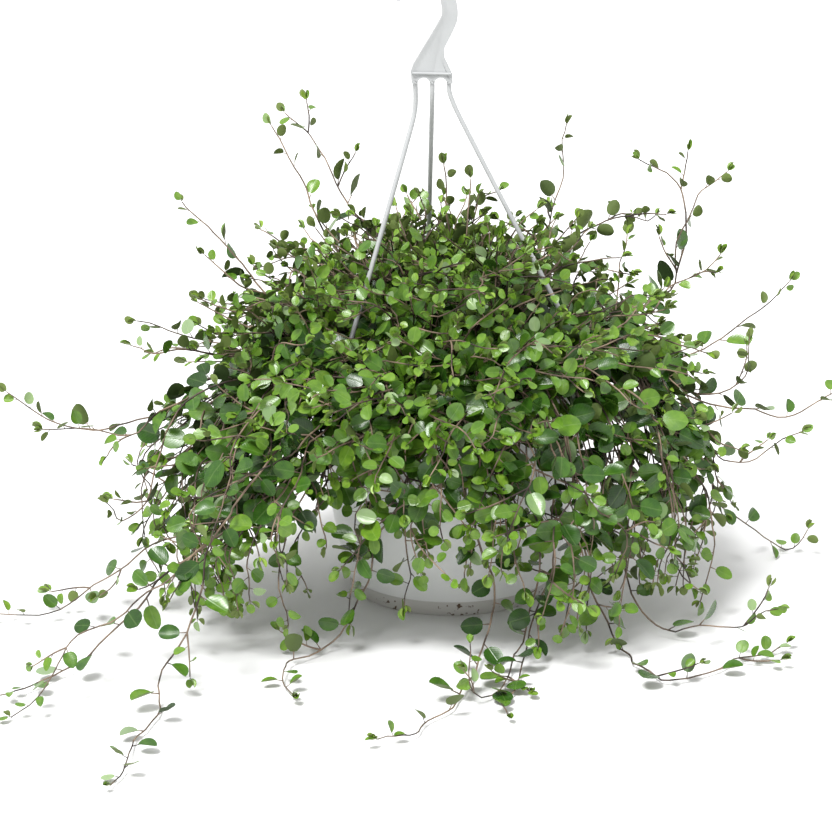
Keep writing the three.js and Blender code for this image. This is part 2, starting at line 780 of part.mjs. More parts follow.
function addNode(name, solid, colour, roughness) {
  const material = new THREE.MeshStandardMaterial({ color: colour, roughness, metalness: 0 });
  const mesh = new THREE.Mesh(toGeometry(solid), material);
  mesh.name = name;
  group.add(mesh);
}

addNode('pot', potSolid, colours.plastic, 0.5);
addNode('soil', soilSolid, colours.soil, 0.95);
addNode('hanger', hangerSolid, colours.plastic, 0.45);
makeVines().forEach((solid, vine) => {
  addNode(`vine_${String(vine + 1).padStart(2, '0')}`, solid, colours.leaf, 0.5);
});

export default group;
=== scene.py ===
# A creeping wire vine in a white hanging pot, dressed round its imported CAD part.
# Sizes are in millimetres, and each finished piece is scaled to metres.
import math

import bmesh
import bpy
from mathutils import Matrix, Vector, noise
from mathutils.geometry import interpolate_bezier, intersect_point_line


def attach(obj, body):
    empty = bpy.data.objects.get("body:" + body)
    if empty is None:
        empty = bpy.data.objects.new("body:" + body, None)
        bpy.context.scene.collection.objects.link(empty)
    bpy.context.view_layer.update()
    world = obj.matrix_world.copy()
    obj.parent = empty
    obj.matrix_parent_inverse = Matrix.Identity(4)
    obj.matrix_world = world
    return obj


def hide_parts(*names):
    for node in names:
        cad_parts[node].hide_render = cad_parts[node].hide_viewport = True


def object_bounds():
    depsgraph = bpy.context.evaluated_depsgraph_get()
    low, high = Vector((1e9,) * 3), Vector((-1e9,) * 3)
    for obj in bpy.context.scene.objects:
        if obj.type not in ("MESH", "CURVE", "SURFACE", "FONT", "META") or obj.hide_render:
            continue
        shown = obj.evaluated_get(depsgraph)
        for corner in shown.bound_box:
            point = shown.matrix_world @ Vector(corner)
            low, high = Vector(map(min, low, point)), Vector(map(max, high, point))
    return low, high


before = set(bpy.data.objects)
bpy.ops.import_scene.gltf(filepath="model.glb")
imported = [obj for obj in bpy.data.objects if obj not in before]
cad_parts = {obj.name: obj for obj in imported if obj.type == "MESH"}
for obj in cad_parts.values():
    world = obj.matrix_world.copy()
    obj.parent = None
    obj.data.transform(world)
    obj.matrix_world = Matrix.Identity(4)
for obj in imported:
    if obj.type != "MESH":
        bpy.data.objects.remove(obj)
cad_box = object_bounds()


# The pot: one thin injection moulding in white polypropylene, with a set-back foot to stack on, a flange
# round its mouth and three slotted lugs that the hanger clips into. Its wall is satin, almost matt, and a
# little soil has dried on the foot.
METRES = 0.001
pot_height = 115
pot_base_radius = 52
pot_top_radius = 74.5
pot_wall = 1.6
pot_floor = 1.8
foot_height = 8
foot_ring_width = 4
foot_hollow = 0.6
foot_set_back = 1.2
flange_radius = 77.5
flange_thickness = 2
lug_width = 9
lug_reach = 4
slot_radius = 69.8
slot_width = 3.1
strand_headings = (220, 100, 340)
drain_holes = 5
drain_hole_radius = 4
drain_circle_radius = 33
pot_sides = 96


def linear(colour):
    """An sRGB hex colour as linear RGBA."""
    channels = [int(colour[i:i + 2], 16) / 255 for i in (0, 2, 4)]
    return [c / 12.92 if c <= 0.04045 else ((c + 0.055) / 1.055) ** 2.4 for c in channels] + [1]


def add_node(material, kind, inputs=None, **settings):
    """Adds a node with its settings. An input is given a value, or linked where it is given a socket."""
    node = material.node_tree.nodes.new(kind)
    for name, value in settings.items():
        setattr(node, name, value)
    for name, value in (inputs or {}).items():
        if isinstance(value, bpy.types.NodeSocket):
            material.node_tree.links.new(value, node.inputs[name])
        else:
            node.inputs[name].default_value = value
    return node


def new_material(name, colour, **values):
    """A material with one shader, and the shader. Underscores in the values' names stand for spaces."""
    material = bpy.data.materials.new(name)
    material.use_nodes = True
    shader = material.node_tree.nodes["Principled BSDF"]
    shader.inputs["Base Color"].default_value = linear(colour)
    for key, value in values.items():
        shader.inputs[key.replace("_", " ")].default_value = value
    return material, shader


def link(material, source, target):
    material.node_tree.links.new(source, target)


def worked_out(material, operation, *values):
    """The result of one sum on sockets and numbers."""
    return add_node(material, "ShaderNodeMath", dict(enumerate(values)), operation=operation).outputs[0]


def patches(material, per_metre, detail):
    """A noise pattern from 0 to 1 that is fixed to the object, with so many patches a metre."""
    where = add_node(material, "ShaderNodeTexCoord").outputs["Object"]
    return add_node(material, "ShaderNodeTexNoise", {
        "Vector": where, "Scale": per_metre, "Detail": detail}).outputs["Fac"]


def mixed(material, share, colour, other):
    """A colour that goes over to another by a share. The other is an sRGB hex colour."""
    return add_node(material, "ShaderNodeMix", {
        "Factor": share, 6: colour, 7: linear(other)}, data_type="RGBA").outputs[2]


def colour_ramp(material, share, stops):
    """The colours along a share from 0 to 1, from (share, sRGB hex) stops in order."""
    node = add_node(material, "ShaderNodeValToRGB", {"Fac": share})
    elements = node.color_ramp.elements
    for element, (place, colour) in ((elements[1], stops[-1]), (elements[0], stops[0])):
        element.position = place
        element.color = linear(colour)
    for place, colour in stops[1:-1]:
        elements.new(place).color = linear(colour)
    return node.outputs["Color"]


def add_relief(material, shader, pattern, strength, depth, **settings):
    """Raises a shader's surface by a pattern, to a depth in millimetres."""
    node = add_node(material, "ShaderNodeBump", {
        "Height": pattern, "Strength": strength, "Distance": depth * METRES}, **settings)
    link(material, node.outputs["Normal"], shader.inputs["Normal"])


def add_object(name, data):
    made = bpy.data.objects.new(name, data)
    bpy.context.scene.collection.objects.link(made)
    return made


def new_piece(name, mesh, materials, replaced=()):
    """Makes a finished mesh in millimetres into a piece of the part."""
    mesh.transform(Matrix.Scale(METRES, 4))
    for material in materials:
        mesh.materials.append(material)
    piece = add_object(name, mesh)
    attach(piece, "root")
    if replaced:
        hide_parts(*replaced)


def mesh_of(name, shape):
    mesh = bpy.data.meshes.new(name)
    shape.to_mesh(mesh)
    shape.free()
    return mesh


def turned(profile, sides):
    """A solid of revolution round Z from [radius, height] points, from pole to pole."""
    shape = bmesh.new()
    corners = [shape.verts.new((radius, 0, height)) for radius, height in profile]
    edges = [shape.edges.new(pair) for pair in zip(corners, corners[1:])]
    bmesh.ops.spin(shape, geom=corners + edges, axis=(0, 0, 1), cent=(0, 0, 0), angle=math.tau,
                   steps=sides, use_merge=True)
    bmesh.ops.remove_doubles(shape, verts=shape.verts, dist=0.001)
    bmesh.ops.recalc_face_normals(shape, faces=shape.faces)
    return shape


def wall_radius(height):
    return pot_base_radius + (pot_top_radius - pot_base_radius) * height / pot_height


def point_at(heading, reach, height):
    angle = math.radians(heading)
    return Vector((reach * math.cos(angle), reach * math.sin(angle), height))


def cut_mesh(shape, tools, operation):
    """The shape joined to or cut by each tool, as one new mesh."""
    base = add_object("blank", mesh_of("blank", shape))
    helpers = []
    for tool in tools:
        helper = add_object("tool", mesh_of("tool", tool))
        helpers.append(helper)
        modifier = base.modifiers.new("cut", "BOOLEAN")
        modifier.object = helper
        modifier.operation = operation
        modifier.solver = "EXACT"
    made = bpy.data.meshes.new_from_object(base.evaluated_get(bpy.context.evaluated_depsgraph_get()))
    for helper in [base] + helpers:
        bpy.data.objects.remove(helper)
    return made


def box_at(heading, radius, height, size):
    shape = bmesh.new()
    place = Matrix.Translation(point_at(heading, radius, height))
    turn = Matrix.Rotation(math.radians(heading), 4, "Z")
    bmesh.ops.create_cube(shape, size=1, matrix=place @ turn @ Matrix.Diagonal((*size, 1)))
    return shape


def sharpen(mesh, degrees):
    """Shades the mesh smooth, apart from edges that turn by more than the angle."""
    shape = bmesh.new()
    shape.from_mesh(mesh)
    for face in shape.faces:
        face.smooth = True
    for edge in shape.edges:
        edge.smooth = edge.calc_face_angle(math.pi) < math.radians(degrees)
    shape.to_mesh(mesh)
    shape.free()
    return mesh


flange_bottom = pot_height - flange_thickness
foot_top_radius = wall_radius(foot_height) - foot_set_back
foot_base_radius = wall_radius(0) - foot_set_back
pot_blank = turned([
    (0, foot_hollow),
    (foot_base_radius - foot_ring_width - 1, foot_hollow),
    (foot_base_radius - foot_ring_width, 0),
    (foot_base_radius - 0.6, 0),
    (foot_base_radius, 0.6),
    (foot_top_radius, foot_height - 0.2),
    (wall_radius(foot_height) - 0.4, foot_height),
    (wall_radius(foot_height), foot_height + 0.5),
    (wall_radius(flange_bottom) - 0.5, flange_bottom - 1.5),
    (wall_radius(flange_bottom), flange_bottom - 0.4),
    (wall_radius(flange_bottom) + 0.5, flange_bottom),
    (flange_radius - 0.5, flange_bottom),
    (flange_radius, flange_bottom + 0.5),
    (flange_radius, pot_height - 0.5),
    (flange_radius - 0.5, pot_height),
    (wall_radius(pot_height) - pot_wall + 0.4, pot_height),
    (wall_radius(pot_height) - pot_wall, pot_height - 0.4),
    (foot_top_radius - pot_wall, foot_height + 1),
    (foot_base_radius - pot_wall, pot_floor),
    (0, pot_floor),
], pot_sides)
lug_end = wall_radius(pot_height) - pot_wall / 2
lug_length = lug_end - slot_radius + lug_reach
lugs = [box_at(heading, lug_end - lug_length / 2, pot_height - flange_thickness / 2,
               (lug_length, lug_width, flange_thickness - 0.02)) for heading in strand_headings]
slots = [box_at(heading, slot_radius, pot_height - flange_thickness / 2,
                (slot_width, slot_width, 3 * flange_thickness)) for heading in strand_headings]
for i in range(drain_holes):
    drill = bmesh.new()
    centre = point_at(360 * (i + 0.5) / drain_holes, drain_circle_radius, 1)
    bmesh.ops.create_cone(drill, cap_ends=True, segments=24, radius1=drain_hole_radius,
                          radius2=drain_hole_radius, depth=6, matrix=Matrix.Translation(centre))
    slots.append(drill)
pot_joined = bmesh.new()
pot_joined.from_mesh(cut_mesh(pot_blank, lugs, "UNION"))
pot_mesh = sharpen(cut_mesh(pot_joined, slots, "DIFFERENCE"), 50)

# Polypropylene, injection moulded in a lightly blasted tool: white with a soft, wide highlight, faint
# flow marks round the wall, and brown crumbs of soil stuck low down.
pot_plastic, shader = new_material("white polypropylene, moulded", "e8eae9", Roughness=0.46, IOR=1.49)
where = add_node(pot_plastic, "ShaderNodeTexCoord").outputs["Object"]
height = add_node(pot_plastic, "ShaderNodeSeparateXYZ", {0: where})
side_soil = patches(pot_plastic, 38, 1)
low_soil = add_node(pot_plastic, "ShaderNodeMapRange", {
    "Value": height.outputs["Z"], "From Min": 0.011, "From Max": 0.005})
crumbs = patches(pot_plastic, 420, 3)
soil_share = worked_out(pot_plastic, "MULTIPLY", side_soil, low_soil.outputs[0])
soil_edge = worked_out(pot_plastic, "MULTIPLY", soil_share, 0.32)
soil_level = worked_out(pot_plastic, "ADD", crumbs, soil_edge)
soil_mask = add_node(pot_plastic, "ShaderNodeMapRange", {
    "Value": soil_level, "From Min": 0.77, "From Max": 0.82})
wall_tone = colour_ramp(pot_plastic, patches(pot_plastic, 35, 4), [(0, "e2e4e4"), (1, "eeefee")])
# Below 8 mm the whole foot is mixed three quarters of the way to grey b4b1ab, fading in over its top 0.8 mm:
# painted shade on the set-back foot. The soil crumbs go over it.
foot_painted_shade = add_node(pot_plastic, "ShaderNodeMapRange", {
    "Value": height.outputs["Z"], "From Min": 0.0086, "From Max": 0.0078, "To Max": 0.75})
foot_with_painted_shade = mixed(pot_plastic, foot_painted_shade.outputs[0], wall_tone, "b4b1ab")
pot_colour = mixed(pot_plastic, soil_mask.outputs[0], foot_with_painted_shade, "54402f")
link(pot_plastic, pot_colour, shader.inputs["Base Color"])
# The blasted grain is about 0.4 mm across.
add_relief(pot_plastic, shader, patches(pot_plastic, 2500, 2), 0.06, 0.2)
new_piece("white_pot", pot_mesh, [pot_plastic], ["pot"])


# The soil: a peat mix with bark crumbs that fills the pot to a little under its rim. It settles unevenly,
# so its top is lumpy, and loose crumbs lie on it between the stems.
soil_top = 104
soil_gap = 0.35
soil_bottom = 2.2
soil_top_rings = 14
lump_height = 2.2
lump_size = 9
crumb_count = 420
crumb_sizes = (0.7, 2.1)


def draw(vine, count, purpose):
    """A repeatable draw from 0 to 1 for one vine, a count along it and a purpose."""
    wave = math.sin(vine * 12.9898 + count * 78.233 + purpose * 37.719) * 43758.5453
    return wave - math.floor(wave)


soil_radius = wall_radius(soil_top) - pot_wall - soil_gap
foot_radius = foot_base_radius - pot_wall - soil_gap
soil_rings = [(0, soil_bottom), (foot_radius, soil_bottom), (foot_radius + 1, foot_height + 1),
              (soil_radius, soil_top - 3), (soil_radius, soil_top - 1)]
for i in range(1, soil_top_rings + 1):
    soil_rings.append((soil_radius * (soil_top_rings - i) / soil_top_rings, soil_top))
soil_shape = turned(soil_rings, 72)
for corner in soil_shape.verts:
    if corner.co.z > soil_top - 0.5:
        corner.co.z += lump_height * noise.noise(corner.co / lump_size)
for i in range(crumb_count):
    reach = (soil_radius - 3) * math.sqrt(draw(i, 1, 20))
    size = crumb_sizes[0] + (crumb_sizes[1] - crumb_sizes[0]) * draw(i, 3, 20) ** 2
    centre = point_at(360 * draw(i, 2, 20), reach, soil_top)
    centre.z += lump_height * noise.noise(centre / lump_size) + 0.2 * size
    turn = Matrix.Rotation(math.tau * draw(i, 4, 20), 4, Vector((draw(i, 5, 20), 0.4, draw(i, 6, 20))))
    stretch = Matrix.Diagonal((size, size * (0.5 + 0.5 * draw(i, 7, 20)), size * 0.6, 1))
    bmesh.ops.create_icosphere(soil_shape, subdivisions=1, radius=1,
                               matrix=Matrix.Translation(centre) @ turn @ stretch)

# Moist peat: dark brown and matt, with paler bark fibres about 2 mm apart.
peat, shader = new_material("peat potting mix, moist", "33251b", Roughness=0.92)
fibres = patches(peat, 480, 6)
peat_tone = colour_ramp(peat, fibres, [(0.35, "1d1510"), (0.75, "5a4331")])
link(peat, peat_tone, shader.inputs["Base Color"])
add_relief(peat, shader, fibres, 0.7, 1)
new_piece("potting_soil", mesh_of("soil", soil_shape), [peat], ["soil"])


# The hanger: one flat moulding in white polypropylene. Its three strands leave a small hub under two round
# arches, bend outwards and end in barbed tabs in the rim. The neck sweeps up from the hub into an open
# hook, with a raised edge along both sides of a shallow groove.
strand_width = 2.4
strand_pitch = 8.2
bend_heights = (243, 249, 251)
bend_drop = 12
hub_x = -9.8
hub_width = 19.8
hub_bottom = 255
plate_thickness = 4
neck_width = 8.4
tip_width = 4.4
edge_width = 1.7
edge_round = 0.45
groove_depth = 0.7
hook_step = 1.6
arch_steps = 12
strand_step = 3
bar_resolution = 2
tab_top = 122
tab_overlap = 5
barb_reach = 1.6
barb_size = 2.4
rib_radius = 0.7
rib_ends = [(-19.4, -1.9, 260.2), (-0.8, -1.9, 259.8)]
plate_left = [(-20.2, 261), (-19, 264.5)]
plate_right = [(-0.2, 259.5), (-3.9, 267.5), (-3.9, 272.5)]
hook_line = [(-4.8, 280), (-1.9, 286), (-1.4, 290), (-2.5, 296), (-5.3, 304), (-10, 310),
             (-15, 311.5), (-20.5, 309), (-24.7, 303), (-26, 297)]


def smooth_path(points, step):
    """Points along a smooth curve through the given points, about a step apart."""
    points = [Vector(point) for point in points]
    ends = [2 * points[0] - points[1]] + points + [2 * points[-1] - points[-2]]
    path = []
    for before, start, end, after in zip(ends, ends[1:], ends[2:], ends[3:]):
        third = (end - start).length / 3
        leave = start + (end - before).normalized() * third
        arrive = end - (after - start).normalized() * third
        count = max(2, round((end - start).length / step))
        path += interpolate_bezier(start, leave, arrive, end, count + 1)[:-1]
    return path + [points[-1]]


def bar_mesh(runs, resolution):
    """Round bars along runs of (point, radius), with closed ends, as one mesh."""
    curve = bpy.data.curves.new("bars", "CURVE")
    curve.dimensions = "3D"
    curve.bevel_depth = 1
    curve.bevel_resolution = resolution
    curve.use_fill_caps = True
    for run in runs:
        spline = curve.splines.new("POLY")
        spline.points.add(len(run) - 1)
        for knot, (point, radius) in zip(spline.points, run):
            knot.co = (*point, 1)
            knot.radius = radius
    holder = add_object("bars", curve)
    made = bpy.data.meshes.new_from_object(holder.evaluated_get(bpy.context.evaluated_depsgraph_get()))
    bpy.data.objects.remove(holder)
    return made


def strand_points(index):
    """One strand: down from the hub, a bend, a straight run to the rim, and down into its slot."""
    top = hub_x + (index - 1) * strand_pitch
    rim = point_at(strand_headings[index], slot_radius, tab_top)
    bend = Vector((top, 0, bend_heights[index]))
    drop = bend_drop / (bend.z - rim.z)
    after_bend = bend.lerp(rim, 0.8 * drop)
    after_bend.z = bend.z - bend_drop
    return [
        Vector((top, 0, hub_bottom + strand_width)),
        bend,
        after_bend,
        bend.lerp(rim, 0.92),
        rim,
        rim - Vector((0, 0, tab_overlap)),
    ]


def hub_outline():
    """The hub plate and hook seen from the front, as [x, height] points."""
    line = smooth_path([(x, 0, height) for x, height in hook_line], hook_step)
    left, right = [], []
    for i, centre in enumerate(line):
        along = (line[min(i + 1, len(line) - 1)] - line[max(i - 1, 0)]).normalized()
        half = (neck_width + (tip_width - neck_width) * i / (len(line) - 1)) / 2
        left.append((centre.x - along.z * half, centre.z + along.x * half))
        right.append((centre.x + along.z * half, centre.z - along.x * half))
    tip, way = line[-1], (line[-1] - line[-2]).normalized()
    across = Vector((way.z, 0, -way.x))
    round_tip = []
    for angle in (-60, -30, 0, 30, 60):
        turn = math.radians(angle)
        spot = tip + (way * math.cos(turn) - across * math.sin(turn)) * tip_width / 2
        round_tip.append((spot.x, spot.z))
    outline = [(hub_x - hub_width / 2, hub_bottom)]
    arch = (strand_pitch - strand_width) / 2
    for side in (-1, 1):
        for i in range(arch_steps + 1):
            turn = math.pi * (1 - i / arch_steps)
            middle = hub_x + side * strand_pitch / 2
            outline.append((middle + arch * math.cos(turn), hub_bottom + arch * math.sin(turn)))
    outline.append((hub_x + hub_width / 2, hub_bottom))
    return outline + plate_right + right + round_tip + left[::-1] + plate_left[::-1]


plate = bmesh.new()
outline_corners = [plate.verts.new((x, -plate_thickness / 2, z)) for x, z in hub_outline()]
front = plate.faces.new(outline_corners)
sides = bmesh.ops.extrude_face_region(plate, geom=[front])
back_corners = [item for item in sides["geom"] if isinstance(item, bmesh.types.BMVert)]
bmesh.ops.translate(plate, verts=back_corners, vec=(0, plate_thickness, 0))
bmesh.ops.recalc_face_normals(plate, faces=plate.faces)
for face in [face for face in plate.faces if len(face.verts) > 8]:
    bmesh.ops.inset_region(plate, faces=[face], thickness=edge_width, depth=-groove_depth,
                           use_even_offset=True)
rims = [edge for edge in plate.edges if edge.calc_face_angle(0) > math.radians(55)]
bmesh.ops.bevel(plate, geom=rims, offset=edge_round, segments=2, affect="EDGES", profile=0.5, material=-1)
cross_rib = [(Vector(end), rib_radius) for end in rib_ends]
plate.from_mesh(bar_mesh([cross_rib], bar_resolution))
for index, heading in enumerate(strand_headings):
    run = [(point, strand_width / 2) for point in smooth_path(strand_points(index), strand_step)]
    plate.from_mesh(bar_mesh([run], bar_resolution))
    barb_top = pot_height - flange_thickness - 0.3
    tab_height = tab_top - tab_overlap / 2 - barb_top + barb_size
    tab = box_at(heading, slot_radius, barb_top - barb_size + tab_height / 2,
                 (strand_width, strand_width, tab_height))
    plate.from_mesh(mesh_of("tab", tab))
    barb = box_at(heading, slot_radius - barb_reach / 2, barb_top - barb_size / 2,
                  (strand_width + barb_reach, barb_size, barb_size))
    plate.from_mesh(mesh_of("barb", barb))
hanger_mesh = sharpen(mesh_of("hanger", plate), 60)

# The same plastic from a polished tool: white and a little glossier than the pot.
# Its colour is painted light grey all over, with faint flow marks: painted shade, so the white hanger
# shows against the white studio.
hanger_plastic, shader = new_material("white polypropylene, polished tool", "f4f5f5", Roughness=0.34,
                                      IOR=1.49)
flow = patches(hanger_plastic, 90, 3)
# Painted shade: a grey from a8aaab to b8baba stands in for the white plastic.
hanger_painted_shade_tone = colour_ramp(hanger_plastic, flow, [(0, "a8aaab"), (1, "b8baba")])
link(hanger_plastic, hanger_painted_shade_tone, shader.inputs["Base Color"])
add_relief(hanger_plastic, shader, flow, 0.15, 0.3)
new_piece("hook_hanger", hanger_mesh, [hanger_plastic], ["hanger"])


# One leaf of the vine, as a pattern for all: a thin round blade about as wide as long, with a short
# point, a notch at its stalk and a fold along its midrib. Its length is 1 here. The blade is closed, with
# a paler underside, and its stalk is a thin three-sided wedge.
leaf_thickness = 0.03
stalk_length = 0.32
stalk_drop = 0.1
stalk_radii = (0.034, 0.024)
blade_sides = 16
blade_border = 0.19
point_length = 0.02
notch_depth = 0.015


def leaf_pattern(name, width, cup, fold, curl, twist):
    shape = bmesh.new()
    bmesh.ops.create_circle(shape, cap_ends=True, radius=0.5, segments=blade_sides)
    middle = shape.faces[:]
    bmesh.ops.inset_region(shape, faces=middle, thickness=blade_border, use_even_offset=True)
    bmesh.ops.poke(shape, faces=middle)
    for face in shape.faces:
        face.material_index = 1
        face.smooth = True
    copy = bmesh.ops.duplicate(shape, geom=shape.verts[:] + shape.edges[:] + shape.faces[:])
    under_faces = [item for item in copy["geom"] if isinstance(item, bmesh.types.BMFace)]
    under_corners = [item for item in copy["geom"] if isinstance(item, bmesh.types.BMVert)]
    inner = [corner for corner in under_corners if not corner.is_boundary]
    bmesh.ops.translate(shape, verts=inner, vec=(0, 0, -leaf_thickness))
    bmesh.ops.reverse_faces(shape, faces=under_faces)
    for face in under_faces:
        face.material_index = 2
    bmesh.ops.remove_doubles(shape, verts=shape.verts, dist=0.0001)
    uv = shape.loops.layers.uv.new("blade")
    for corner in shape.verts:
        x, y = corner.co.x, corner.co.y + 0.5
        for loop in corner.link_loops:
            loop[uv].uv = (x + 0.5, y)
        corner.co.x = x * width * (1.04 - 0.08 * y)
        if abs(x) < 0.01 and y > 0.95:
            y += point_length
        if abs(x) < 0.01 and y < 0.05:
            y += notch_depth
        corner.co.y = y
        corner.co.z += cup * x * x + fold * abs(x) - curl * y * y + twist * x * (y - 0.4)
    for edge in shape.edges:
        edge.smooth = len({face.material_index for face in edge.link_faces}) == 1
    start = Vector((0, -stalk_length, -stalk_drop))
    end = Vector((0, 0.07, -leaf_thickness / 2))
    lie = (end - start).to_track_quat("Z", "Y").to_matrix().to_4x4()
    stalk = bmesh.ops.create_cone(shape, cap_ends=True, segments=3, radius1=stalk_radii[0],
                                  radius2=stalk_radii[1], depth=(end - start).length,
                                  matrix=Matrix.Translation((start + end) / 2) @ lie)
    for corner in stalk["verts"]:
        for face in corner.link_faces:
            face.material_index = 0
            face.smooth = True
    return mesh_of(name, shape)


leaf_patterns = [
    leaf_pattern("leaf open", 0.88, 0.25, 0.05, 0.03, 0.0),
    leaf_pattern("leaf cupped", 0.8, 0.8, 0.06, -0.1, 0.1),
    leaf_pattern("leaf folded", 0.82, 0.1, 0.3, 0.12, -0.1),
    leaf_pattern("leaf reflexed", 0.9, -0.5, 0.1, 0.22, 0.12),
    leaf_pattern("leaf oval", 0.68, 0.35, 0.12, 0.1, -0.15),
    leaf_pattern("leaf dished", 0.78, 0.9, 0.0, -0.25, 0.0),
]
bud_pattern = leaf_pattern("bud leaf", 0.42, 0.9, 0.3, -0.15, 0.0)

# Fresh leaves: a thin waxy skin over green flesh. The upper side is mid green with a broad soft gloss,
# yellow-green while young and darker with age. A few are tinted pale grey-green: part waxy bloom, part
# painted sheen.
leaf_skin, shader = new_material("wire vine leaf, waxy upper side", "4a7a26", Roughness=0.27, IOR=1.5)
age = add_node(leaf_skin, "ShaderNodeAttribute", attribute_name="age").outputs["Fac"]
bloom_and_sheen = add_node(leaf_skin, "ShaderNodeAttribute", attribute_name="bloom_and_sheen").outputs["Fac"]
mottle = patches(leaf_skin, 260, 2)
mottle_share = add_node(leaf_skin, "ShaderNodeMapRange", {
    "Value": mottle, "From Min": 0.3, "From Max": 0.7, "To Min": -0.1, "To Max": 0.1})
aged = worked_out(leaf_skin, "ADD", age, mottle_share.outputs[0])
leaf_tone = colour_ramp(leaf_skin, aged, [
    (0.02, "83a138"), (0.2, "638826"), (0.45, "456c1d"), (0.7, "2d5314"), (1, "1d3c0e")])
# A few leaves are mixed towards pale grey-green a6ba94: part waxy bloom, part painted sheen.
bloom_and_sheen_tinted = mixed(leaf_skin, bloom_and_sheen, leaf_tone, "a6ba94")
# The midrib is 0.5 mm wide and paler. Side veins leave it every 1.5 mm.
on_blade = add_node(leaf_skin, "ShaderNodeTexCoord").outputs["UV"]
across = add_node(leaf_skin, "ShaderNodeSeparateXYZ", {0: on_blade})
rib_distance = worked_out(leaf_skin, "ABSOLUTE", worked_out(leaf_skin, "SUBTRACT", across.outputs["X"], 0.5))
rib = add_node(leaf_skin, "ShaderNodeMapRange", {
    "Value": rib_distance, "From Min": 0.045, "From Max": 0.01})
slant = worked_out(leaf_skin, "MULTIPLY_ADD", rib_distance, -0.8, across.outputs["Y"])
vein_wave = worked_out(leaf_skin, "SINE", worked_out(leaf_skin, "MULTIPLY", slant, 50))
vein = add_node(leaf_skin, "ShaderNodeMapRange", {
    "Value": vein_wave, "From Min": 0.6, "From Max": 1, "To Max": 0.25})
vein_share = worked_out(leaf_skin, "MAXIMUM", rib.outputs[0], vein.outputs[0])
vein_fade = worked_out(leaf_skin, "MULTIPLY", vein_share, 0.1)
link(leaf_skin, mixed(leaf_skin, vein_fade, bloom_and_sheen_tinted, "a3bd74"), shader.inputs["Base Color"])
add_relief(leaf_skin, shader, vein_share, 0.25, 0.3, invert=True)

# The underside has no wax: it is matt, paler and greyer.
leaf_under, shader = new_material("wire vine leaf, underside", "6f8a50", Roughness=0.6, IOR=1.4)
age = add_node(leaf_under, "ShaderNodeAttribute", attribute_name="age").outputs["Fac"]
under_tone = colour_ramp(leaf_under, age, [(0, "738544"), (1, "314422")])
link(leaf_under, under_tone, shader.inputs["Base Color"])
add_relief(leaf_under, shader, patches(leaf_under, 1400, 2), 0.2, 0.2)

# Wiry stems: thin brown bark, slightly rough, in dark and pale patches about 15 mm long.
stem_bark, shader = new_material("wire vine stem, thin bark", "6e4f42", Roughness=0.6, IOR=1.45)
bark = patches(stem_bark, 60, 5)
bark_tone = colour_ramp(stem_bark, bark, [(0.4, "31261f"), (0.62, "8f7b68")])
link(stem_bark, bark_tone, shader.inputs["Base Color"])
add_relief(stem_bark, shader, bark, 0.4, 0.3)


# The leafy stems: wiry runners that leave the soil, arch over the rim and hang to the floor or trail on
# it, with short side shoots. Leaves stand alternately on short stalks, and shrink to small bud leaves at
# each tip. The routes are those of the CAD part: followed vines, crown vines and skirt vines.

